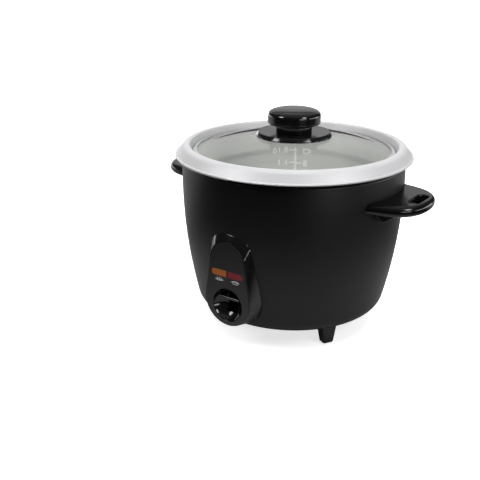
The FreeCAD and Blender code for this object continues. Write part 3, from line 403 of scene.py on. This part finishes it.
def ribbon(points, width):
    """Flat outline of a stroke of one width along a line of 2-D points."""
    left = []
    right = []
    for index, (x, y) in enumerate(points):
        ahead = points[min(index + 1, len(points) - 1)]
        behind = points[max(index - 1, 0)]
        way = Vector((ahead[0] - behind[0], ahead[1] - behind[1])).normalized()
        side = Vector((-way.y, way.x)) * (width / 2)
        left.append((x + side.x, y + side.y))
        right.append((x - side.x, y - side.y))
    return left, right


def stroke_faces(bm, points, width, place):
    """Adds a stroke as a row of closed boxes, put on a surface by place(x, y, lift)."""
    left, right = ribbon(points, width)
    rows = []
    for (lx, ly), (rx, ry) in zip(left, right):
        rows.append([bm.verts.new(place(*corner)) for corner in
                     ((lx, ly, 0.0), (rx, ry, 0.0), (rx, ry, INK), (lx, ly, INK))])
    for first, second in zip(rows, rows[1:]):
        for a in range(4):
            b = (a + 1) % 4
            bm.faces.new((first[a], first[b], second[b], second[a]))
    bm.faces.new(rows[0][::-1])
    bm.faces.new(rows[-1])


def print_piece(name, strokes, width, place, body, finish):
    bm = bmesh.new()
    for points in strokes:
        stroke_faces(bm, points, width, place)
    bmesh.ops.recalc_face_normals(bm, faces=bm.faces)
    mesh = bpy.data.meshes.new(name)
    bm.to_mesh(mesh)
    bm.free()
    piece = bpy.data.objects.new(name, mesh)
    bpy.context.scene.collection.objects.link(piece)
    piece.data.materials.append(FINISH[finish])
    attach(piece, body)
    print(name, len(strokes), "strokes", len(mesh.polygons), "faces")
    return piece


def arc_points(cx, cy, rx, ry, start, end, count):
    steps = [math.radians(start + (end - start) * i / count) for i in range(count + 1)]
    return [(cx + rx * math.cos(a), cy + ry * math.sin(a)) for a in steps]


def wave_points(x, low, high, sway, count):
    shares = [i / count for i in range(count + 1)]
    return [(x + sway * math.sin(2 * math.pi * s), low + (high - low) * s) for s in shares]


# %% [markdown]
# ## Signs under the two lamps
# Heat waves over a dish stand for keeping warm, and a lidded pot for cooking. Both signs lie on
# the face of the panel's film, whose place is read from the frame.

# %% Panel signs
PANEL_FACE = -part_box("panel_overlay")[0].y
SIGN_HEIGHT = 80.6
WARM_PLACE = -9.6
COOK_PLACE = 9.8
SIGN_STROKE = 0.4


def on_panel(x, z, lift):
    return (x * MM, -(PANEL_FACE + PRINT_GAP + lift), z * MM)


def warm_sign(x, z):
    """Three heat waves over a shallow dish."""
    dish = arc_points(x, z - 0.4, 4.4, 1.1, 180, 360, 14)
    rim = [(x - 4.8, z - 0.4), (x + 4.8, z - 0.4)]
    waves = [wave_points(x + dx, z + 0.2, z + 1.7, 0.3, 10) for dx in (-2.2, 0.0, 2.2)]
    return [dish, rim] + waves


def cook_sign(x, z):
    """A wide pot with its lid and two ears."""
    low = z - 1.5
    pot = [(x - 3.3, z + 0.5), (x - 3.3, low + 0.5), (x - 2.7, low), (x + 2.7, low), (x + 3.3, low + 0.5),
           (x + 3.3, z + 0.5)]
    rim = [(x - 4.9, z + 0.5), (x + 4.9, z + 0.5)]
    lid = arc_points(x, z + 0.7, 3.2, 0.9, 0, 180, 12)
    return [pot, rim, lid]


print_piece("warm_sign", warm_sign(WARM_PLACE, SIGN_HEIGHT), SIGN_STROKE, on_panel, "cooker", "print_white")
print_piece("cook_sign", cook_sign(COOK_PLACE, SIGN_HEIGHT), SIGN_STROKE, on_panel, "cooker", "print_white")

# %% [markdown]
# ## Water scale inside the pot
# Etched marks climb the wall: one upright line, short ticks on both sides and a few numbers.
# They are drawn flat and then wrapped round the wall's radius.

# %% Water scale
POT_RADIUS = 102.0
SCALE_TURN = math.radians(119.6)
SCALE_TOP = 168.0
SCALE_LOW = 84.0
SCALE_STEP = 15.4
SCALE_STROKE = 1.5
WALL_GAP = 0.02
FIRST_TICK = 3.5
TICK_LENGTH = 7.5
CUP_DROP = 9.0
CUP_SHIFT = 0.7
NUMBER_TALL = 6.4
LITRE_PLACE = -21.0
CUP_PLACE = 10.0
CUP_SIGN = (9.0, SCALE_TOP - 7.5)
DROP_SIGN = (-27.0, SCALE_TOP - 7.0)


def on_wall(x, z, lift):
    """x runs to the right for a viewer who looks at the far wall from inside."""
    turn = SCALE_TURN - x / POT_RADIUS
    radius = POT_RADIUS - WALL_GAP - lift / MM
    return (radius * math.cos(turn) * MM, radius * math.sin(turn) * MM, z * MM)


def digit_strokes(digit, x, z, wide, tall):
    """Plain round-cornered figures drawn as strokes from their lower left corner."""
    mid = z + tall / 2
    top = z + tall
    right = x + wide
    centre = x + wide / 2
    forms = {
        "0": [arc_points(centre, mid, wide / 2, tall / 2, 90, 450, 20)],
        "1": [[(x + wide * 0.2, top - tall * 0.2), (centre, top), (centre, z)]],
        "2": [arc_points(centre, top - wide / 2, wide / 2, wide / 2, 160, -30, 10) + [(x, z), (right, z)]],
        "4": [[(right - wide * 0.25, z), (right - wide * 0.25, top), (x, z + tall * 0.3),
               (right, z + tall * 0.3)]],
        "6": [arc_points(centre, z + wide / 2, wide / 2, wide / 2, 0, 360, 16),
              [(x, z + wide / 2), (x + wide * 0.15, mid + tall * 0.15), (right - wide * 0.1, top)]],
        "8": [arc_points(centre, z + tall * 0.26, wide / 2, tall * 0.26, 0, 360, 16),
              arc_points(centre, top - tall * 0.22, wide * 0.42, tall * 0.22, 0, 360, 16)],
        ".": [[(centre - 0.3, z), (centre + 0.3, z)]],
    }
    return forms[digit]


def number_strokes(text, x, z, tall):
    strokes = []
    wide = tall * 0.55
    for letter in text:
        step = wide * 0.45 if letter == "." else wide
        strokes += digit_strokes(letter, x, z, step, tall)
        x += step + tall * 0.22
    return strokes


def cup_sign(x, z):
    """A plain cup, which says that the right side counts cups."""
    cup = [(x, z + 5.0), (x + 1.2, z), (x + 5.8, z), (x + 7.0, z + 5.0), (x, z + 5.0)]
    ear = arc_points(x + 6.6, z + 2.8, 2.6, 1.7, -80, 80, 10)
    return [cup, ear]


def drop_sign(x, z):
    """A water drop, which says that the left side measures water."""
    round_end = arc_points(x + 2.2, z + 1.9, 2.0, 1.9, 150, 390, 16)
    return [[(x + 2.2, z + 6.2)] + round_end + [(x + 2.2, z + 6.2)]]


def scale_strokes():
    strokes = [[(0.0, SCALE_LOW), (0.0, SCALE_TOP)]]
    strokes += cup_sign(*CUP_SIGN)
    strokes += drop_sign(*DROP_SIGN)
    for index, text in enumerate(("1.8", "1.4", "1.0", "0.6")):
        z = SCALE_TOP - FIRST_TICK - SCALE_STEP * index
        strokes.append([(-TICK_LENGTH, z), (0.0, z)])
        strokes += number_strokes(text, LITRE_PLACE, z - NUMBER_TALL / 2, NUMBER_TALL)
    for index, text in enumerate(("8", "6", "4", "2")):
        z = SCALE_TOP - CUP_DROP - SCALE_STEP * (index + CUP_SHIFT)
        strokes.append([(0.0, z), (TICK_LENGTH, z)])
        strokes += number_strokes(text, CUP_PLACE, z - NUMBER_TALL / 2, NUMBER_TALL)
    return strokes


print_piece("water_scale", scale_strokes(), SCALE_STROKE, on_wall, "pot", "print_silver")

# %% [markdown]
# ## Geometry Nodes for what repeats
# Fine level marks and screws are one shape many times over, so a node tree makes them: points go in,
# each point gets a copy, and the copies are turned into real mesh. The sizes are named inputs,
# so one tree serves several rows.


# %% Tree helpers
def new_tree(name, inputs):
    """Geometry tree with named inputs (name, socket kind, default)."""
    tree = bpy.data.node_groups.new(name, "GeometryNodeTree")
    tree.interface.new_socket("Points", in_out="INPUT", socket_type="NodeSocketGeometry")
    for title, kind, default in inputs:
        socket = tree.interface.new_socket(title, in_out="INPUT", socket_type=kind)
        if default is not None:
            socket.default_value = default
    tree.interface.new_socket("Geometry", in_out="OUTPUT", socket_type="NodeSocketGeometry")
    return tree, add_node(tree, "NodeGroupInput", (-1200, 0)), add_node(tree, "NodeGroupOutput", (1200, 0))


def grow(name, points, tree, values):
    """Runs a tree on points and keeps the result as a plain mesh at the origin."""
    seed = bpy.data.meshes.new(name + "_points")
    seed.from_pydata(points, [], [])
    piece = bpy.data.objects.new(name, seed)
    bpy.context.scene.collection.objects.link(piece)
    modifier = piece.modifiers.new("grow", "NODES")
    modifier.node_group = tree
    for item in tree.interface.items_tree:
        if item.in_out == "INPUT" and item.name in values:
            modifier[item.identifier] = values[item.name]
    graph = bpy.context.evaluated_depsgraph_get()
    mesh = bpy.data.meshes.new_from_object(piece.evaluated_get(graph), depsgraph=graph)
    piece.modifiers.clear()
    piece.data = mesh
    bpy.data.meshes.remove(seed)
    print(name, len(points), "copies", len(mesh.polygons), "faces")
    return piece


def vector_of(tree, place, *parts):
    """Combine XYZ from three sockets or numbers."""
    node = add_node(tree, "ShaderNodeCombineXYZ", place)
    for index, part in enumerate(parts):
        if isinstance(part, (int, float)):
            node.inputs[index].default_value = part
        else:
            join(tree, part, node.inputs[index])
    return node.outputs[0]


# %% [markdown]
# ## Fine marks between the numbers
# The marks are etched short bars. The tree lays them out flat and then bends them round the pot:
# the sideways place becomes an angle, and the depth becomes a radius.


# %% Level marks
def level_tree():
    tree, inlet, outlet = new_tree("level_marks", [
        ("Length", "NodeSocketFloat", 0.005), ("Width", "NodeSocketFloat", 0.0008),
        ("Ink", "NodeSocketFloat", 0.00005), ("Radius", "NodeSocketFloat", 0.102),
        ("Turn", "NodeSocketFloat", 2.0), ("Material", "NodeSocketMaterial", None)])
    sizes = [inlet.outputs[title] for title in ("Length", "Ink", "Width")]
    bar = add_node(tree, "GeometryNodeMeshCube", (-700, 200))
    set_inputs(bar, {"Vertices X": 6, "Vertices Y": 2, "Vertices Z": 2})
    join(tree, vector_of(tree, (-900, 200), *sizes), bar.inputs["Size"])
    copies = add_node(tree, "GeometryNodeInstanceOnPoints", (-480, 0))
    join(tree, inlet.outputs["Points"], copies.inputs["Points"])
    join(tree, bar.outputs["Mesh"], copies.inputs["Instance"])
    real = add_node(tree, "GeometryNodeRealizeInstances", (-280, 0))
    join(tree, copies.outputs[0], real.inputs[0])
    place = add_node(tree, "GeometryNodeInputPosition", (-700, -300))
    parts = add_node(tree, "ShaderNodeSeparateXYZ", (-520, -300))
    join(tree, place.outputs[0], parts.inputs[0])
    bend = math_node(tree, "DIVIDE", (-320, -260), parts.outputs[0], inlet.outputs["Radius"])
    turn = math_node(tree, "SUBTRACT", (-140, -260), inlet.outputs["Turn"], bend)
    reach = math_node(tree, "SUBTRACT", (-140, -440), inlet.outputs["Radius"], parts.outputs[1])
    across = math_node(tree, "COSINE", (50, -260), turn, 0.0)
    across = math_node(tree, "MULTIPLY", (240, -260), across, reach)
    along = math_node(tree, "SINE", (50, -440), turn, 0.0)
    along = math_node(tree, "MULTIPLY", (240, -440), along, reach)
    wrapped = vector_of(tree, (440, -300), across, along, parts.outputs[2])
    moved = add_node(tree, "GeometryNodeSetPosition", (660, 0))
    join(tree, real.outputs[0], moved.inputs["Geometry"])
    join(tree, wrapped, moved.inputs["Position"])
    inked = add_node(tree, "GeometryNodeSetMaterial", (900, 0))
    join(tree, moved.outputs[0], inked.inputs["Geometry"])
    join(tree, inlet.outputs["Material"], inked.inputs["Material"])
    join(tree, inked.outputs[0], outlet.inputs[0])
    return tree


MARKS = 20
MARKS_PER_STEP = 4
MARK_LENGTH = 4.4 * MM
MARK_WIDTH = 1.0 * MM
mark_heights = [SCALE_TOP - FIRST_TICK - SCALE_STEP * index / MARKS_PER_STEP for index in range(MARKS)]
level_marks = grow("level_marks", [(0.0, INK, z * MM) for z in mark_heights], level_tree(), {
    "Length": MARK_LENGTH, "Width": MARK_WIDTH, "Ink": INK, "Radius": POT_RADIUS * MM, "Turn": SCALE_TURN,
    "Material": FINISH["print_silver"]})
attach(level_marks, "pot")

# %% [markdown]
# ## Screws with a cross recess
# The frame's screws are plain pan heads. Where they can be seen, under the base and at the rear
# inlet, each gets a sloped head with a cross cut into it, which is how a driver would turn it.


# %% Screws
CROWN_SHARE = 0.74
HEAD_RADIUS = 3.0 * MM
HEAD_HEIGHT = 1.6 * MM
BASE_SCREW_TURNS = (30, 150, 270)


def screw_tree():
    tree, inlet, outlet = new_tree("cross_screws", [
        ("Head Radius", "NodeSocketFloat", 0.003), ("Head Height", "NodeSocketFloat", 0.0016),
        ("Shank Radius", "NodeSocketFloat", 0.0015), ("Shank Length", "NodeSocketFloat", 0.002),
        ("Recess Width", "NodeSocketFloat", 0.0008), ("Recess Length", "NodeSocketFloat", 0.0034),
        ("Recess Depth", "NodeSocketFloat", 0.0009), ("Tilt", "NodeSocketVector", (0.0, 0.0, 0.0)),
        ("Material", "NodeSocketMaterial", None)])
    height = inlet.outputs["Head Height"]
    lower = math_node(tree, "MULTIPLY", (-1000, 500), height, 0.5)
    crown = math_node(tree, "MULTIPLY", (-1000, 340), inlet.outputs["Head Radius"], CROWN_SHARE)
    whole = math_node(tree, "ADD", (-1000, -80), inlet.outputs["Shank Length"], lower)
    base = add_node(tree, "GeometryNodeMeshCylinder", (-800, 560))
    top = add_node(tree, "GeometryNodeMeshCone", (-800, 260))
    shank = add_node(tree, "GeometryNodeMeshCylinder", (-800, -80))
    for node, count in ((base, 32), (top, 32), (shank, 20)):
        node.inputs["Vertices"].default_value = count
    join(tree, inlet.outputs["Head Radius"], base.inputs["Radius"])
    join(tree, lower, base.inputs["Depth"])
    join(tree, crown, top.inputs["Radius Top"])
    join(tree, inlet.outputs["Head Radius"], top.inputs["Radius Bottom"])
    join(tree, lower, top.inputs["Depth"])
    join(tree, inlet.outputs["Shank Radius"], shank.inputs["Radius"])
    join(tree, whole, shank.inputs["Depth"])
    half = math_node(tree, "MULTIPLY", (-1000, 100), lower, -1.5)
    lowest = math_node(tree, "MULTIPLY", (-600, -200), whole, -0.5)
    lowest = math_node(tree, "SUBTRACT", (-420, -200), lowest, lower)
    sunk = math_node(tree, "MULTIPLY", (-600, 400), height, -0.5)
    solids = add_node(tree, "GeometryNodeMeshBoolean", (0, 300), operation="UNION")
    for form, drop in ((base, half), (top, sunk), (shank, lowest)):
        shift = add_node(tree, "GeometryNodeTransform", (-240, 300))
        join(tree, form.outputs["Mesh"], shift.inputs["Geometry"])
        join(tree, vector_of(tree, (-420, 300), 0.0, 0.0, drop), shift.inputs["Translation"])
        join(tree, shift.outputs[0], solids.inputs["Mesh 2"])
    cuts = add_node(tree, "GeometryNodeMeshBoolean", (260, 200), operation="DIFFERENCE")
    join(tree, solids.outputs["Mesh"], cuts.inputs["Mesh 1"])
    deep = math_node(tree, "MULTIPLY", (-420, -420), inlet.outputs["Recess Depth"], 2.0)
    long_side = inlet.outputs["Recess Length"]
    thin_side = inlet.outputs["Recess Width"]
    for first, second in ((long_side, thin_side), (thin_side, long_side)):
        arm = add_node(tree, "GeometryNodeMeshCube", (0, -300))
        join(tree, vector_of(tree, (-200, -300), first, second, deep), arm.inputs["Size"])
        join(tree, arm.outputs["Mesh"], cuts.inputs["Mesh 2"])
    copies = add_node(tree, "GeometryNodeInstanceOnPoints", (480, 0))
    join(tree, inlet.outputs["Points"], copies.inputs["Points"])
    join(tree, cuts.outputs["Mesh"], copies.inputs["Instance"])
    tilt = add_node(tree, "FunctionNodeEulerToRotation", (260, -120))
    join(tree, inlet.outputs["Tilt"], tilt.inputs[0])
    join(tree, tilt.outputs[0], copies.inputs["Rotation"])
    real = add_node(tree, "GeometryNodeRealizeInstances", (700, 0))
    join(tree, copies.outputs[0], real.inputs[0])
    plated = add_node(tree, "GeometryNodeSetMaterial", (920, 0))
    join(tree, real.outputs[0], plated.inputs["Geometry"])
    join(tree, inlet.outputs["Material"], plated.inputs["Material"])
    join(tree, plated.outputs[0], outlet.inputs[0])
    return tree


SCREWS = screw_tree()
base_low, base_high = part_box("base_screws")
ring = -base_low.y - HEAD_RADIUS
turns = [math.radians(a) for a in BASE_SCREW_TURNS]
base_points = [(ring * math.cos(a), ring * math.sin(a), base_low.z) for a in turns]
inlet_low, inlet_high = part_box("inlet_screws")
inlet_middle = (inlet_low.z + inlet_high.z) / 2
inlet_points = [(side * (inlet_high.x - HEAD_RADIUS), inlet_high.y, inlet_middle) for side in (-1, 1)]
for node, points, tilt, depth in (("base_screws", base_points, math.pi, base_high.z - base_low.z),
                                  ("inlet_screws", inlet_points, -math.pi / 2, inlet_high.y - inlet_low.y)):
    row = grow("cross_" + node, points, SCREWS, {
        "Head Radius": HEAD_RADIUS, "Head Height": HEAD_HEIGHT, "Shank Length": depth - HEAD_HEIGHT,
        "Tilt": (tilt, 0.0, 0.0), "Material": FINISH["screw_steel"]})
    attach(row, "cooker")
    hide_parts(node)

# %% [markdown]
# ## Floor
# A white sweep is really a floor that fades into its backdrop. To the camera it is white with a
# soft shadow near the feet. To the cooker's own reflections it shows painted light: a grey pool painted
# round the feet that fades with distance, and painted brightness behind, which keeps the black paint black.

# %% Floor
BEHIND = (-0.576, 0.817, 0.0)
FLOOR_SIZE = 40.0
mesh = bpy.data.meshes.new("floor")
half = FLOOR_SIZE / 2
corners = [(-half, -half, 0), (half, -half, 0), (half, half, 0), (-half, half, 0)]
mesh.from_pydata(corners, [], [(0, 1, 2, 3)])
floor = bpy.data.objects.new("floor", mesh)
bpy.context.scene.collection.objects.link(floor)


def floor_material():
    """White to the camera with the shadow kept, and a painted pool of light round the feet for reflections.
    """
    material = bpy.data.materials.new("floor_finish")
    material.use_nodes = True
    tree = material.node_tree
    bright = tree.nodes["Principled BSDF"]
    set_inputs(bright, {"Base Color": (0.80, 0.80, 0.80, 1.0), "Roughness": 0.9, "Specular IOR Level": 0.1})
    glow = add_node(tree, "ShaderNodeEmission", (0, 300))
    place = add_node(tree, "ShaderNodeTexCoord", (-800, 300))
    reach = add_node(tree, "ShaderNodeVectorMath", (-600, 300), operation="LENGTH")
    join(tree, place.outputs["Object"], reach.inputs[0])
    rise = add_node(tree, "ShaderNodeMapRange", (-400, 300), interpolation_type="SMOOTHSTEP")
    set_inputs(rise, {"From Min": 0.22, "From Max": 0.75, "To Min": 0.70, "To Max": 1.0})
    join(tree, reach.outputs["Value"], rise.inputs["Value"])
    join(tree, rise.outputs[0], glow.inputs["Strength"])
    lifted = add_node(tree, "ShaderNodeAddShader", (300, 200))
    join(tree, bright.outputs[0], lifted.inputs[0])
    join(tree, glow.outputs[0], lifted.inputs[1])
    dim = add_node(tree, "ShaderNodeBsdfDiffuse", (0, -500))
    # Painted light for reflections: grey round the feet, fading to near black with distance.
    painted_light_fade = add_node(tree, "ShaderNodeMapRange", (-400, -500), interpolation_type="SMOOTHSTEP")
    set_inputs(painted_light_fade, {"From Min": 0.14, "From Max": 0.42, "To Min": 0.48, "To Max": 0.006})
    join(tree, reach.outputs["Value"], painted_light_fade.inputs["Value"])
    depth = add_node(tree, "ShaderNodeVectorMath", (-600, -760), operation="DOT_PRODUCT")
    depth.inputs[1].default_value = BEHIND
    join(tree, place.outputs["Object"], depth.inputs[0])
    # Painted light for reflections: the floor behind the cooker is painted brighter.
    behind = add_node(tree, "ShaderNodeMapRange", (-400, -760), interpolation_type="SMOOTHSTEP")
    set_inputs(behind, {"From Min": -0.02, "From Max": 0.40, "To Min": 0.0, "To Max": 0.45})
    join(tree, depth.outputs["Value"], behind.inputs["Value"])
    painted_light_grey = math_node(tree, "MAXIMUM", (-200, -600), painted_light_fade.outputs[0], behind.outputs[0])
    join(tree, painted_light_grey, dim.inputs["Color"])
    path = add_node(tree, "ShaderNodeLightPath", (100, 600))
    switch = add_node(tree, "ShaderNodeMixShader", (600, 0))
    join(tree, path.outputs["Is Camera Ray"], switch.inputs[0])
    join(tree, dim.outputs[0], switch.inputs[1])
    join(tree, lifted.outputs[0], switch.inputs[2])
    join(tree, switch.outputs[0], tree.nodes["Material Output"].inputs["Surface"])
    return material


floor.data.materials.append(floor_material())
print("floor", FLOOR_SIZE, "m wide")

# %% [markdown]
# ## Light
# Two soft boxes at the front left and right make the paired highlights on the knob. A wide
# panel above gives most of the light and stays out of the mirror images. Low walls at the sides
# draw the bright edges of the body, and a backdrop and a roof behind show in the lid's glass.


# %% Lights
def soft_box(name, place, aim, wide, tall, power):
    lamp = bpy.data.lights.new(name, "AREA")
    lamp.shape = "RECTANGLE"
    lamp.size = wide
    lamp.size_y = tall
    lamp.energy = power
    holder = bpy.data.objects.new(name, lamp)
    holder.location = place
    holder.rotation_euler = (Vector(aim) - Vector(place)).to_track_quat("-Z", "Y").to_euler()
    holder.visible_camera = False
    bpy.context.scene.collection.objects.link(holder)
    return holder


LIGHTS = (
    ("left_box", (-0.75, -1.15, 1.15), (0, 0, 0.15), 0.45, 0.6, 9.0),
    ("right_box", (1.35, -0.25, 1.15), (0, 0, 0.15), 0.45, 0.6, 9.0),
    ("top_panel", (0.0, 0.0, 2.0), (0, 0, 0.1), 2.2, 2.2, 52.0),
    ("left_wall", (-1.7, 0.5, 0.16), (0, 0, 0.12), 2.0, 0.32, 5.0),
    ("right_wall", (1.5, 1.1, 0.16), (0, 0, 0.12), 2.0, 0.32, 8.0),
    ("low_wall", (1.5, -0.6, 0.1), (0, 0, 0.1), 0.8, 0.2, 3.0),
    ("back_wall", (-1.5, 2.1, 1.0), (0, 0, 0.2), 3.4, 1.3, 6.5),
    ("back_roof", (-0.9, 1.4, 2.0), (0, 0, 0.2), 3.4, 1.0, 4.0),
    ("ceiling", (0.0, 0.2, 2.3), (0, 0, 0), 2.8, 2.8, 6.0),
)
lights = {row[0]: soft_box(*row) for row in LIGHTS}
lights["top_panel"].visible_glossy = False
print("lights", ", ".join(lights))

# %% [markdown]
# ## World and camera
# The world is white to the camera and nearly dark to everything else. The camera's place, aim and
# lens were fitted to the circle of the pot's rim.

# %% World and camera
CAMERA_PLACE = (0.3983, -0.6629, 0.3808)
CAMERA_AIM = (-0.5385, 0.7634, -0.3567)
LENS_LENGTH = 55.84
SENSOR_WIDTH = 36.0
world = bpy.data.worlds.new("studio")
bpy.context.scene.world = world
world.use_nodes = True
tree = world.node_tree
sky = tree.nodes["Background"]
set_inputs(sky, {"Color": (1, 1, 1, 1), "Strength": 0.05})
white = add_node(tree, "ShaderNodeBackground", (0, -200))
set_inputs(white, {"Color": (1, 1, 1, 1), "Strength": 1.0})
path = add_node(tree, "ShaderNodeLightPath", (-300, 300))
switch = add_node(tree, "ShaderNodeMixShader", (300, 0))
join(tree, path.outputs["Is Camera Ray"], switch.inputs[0])
join(tree, sky.outputs[0], switch.inputs[1])
join(tree, white.outputs[0], switch.inputs[2])
join(tree, switch.outputs[0], tree.nodes["World Output"].inputs["Surface"])

lens = bpy.data.cameras.new("camera")
lens.sensor_width = SENSOR_WIDTH
lens.lens = LENS_LENGTH
camera = bpy.data.objects.new("camera", lens)
camera.location = CAMERA_PLACE
camera.rotation_euler = Vector(CAMERA_AIM).to_track_quat("-Z", "Y").to_euler()
bpy.context.scene.collection.objects.link(camera)
bpy.context.scene.camera = camera
bpy.context.scene.view_settings.view_transform = "Standard"
print("camera", lens.lens, "mm lens")
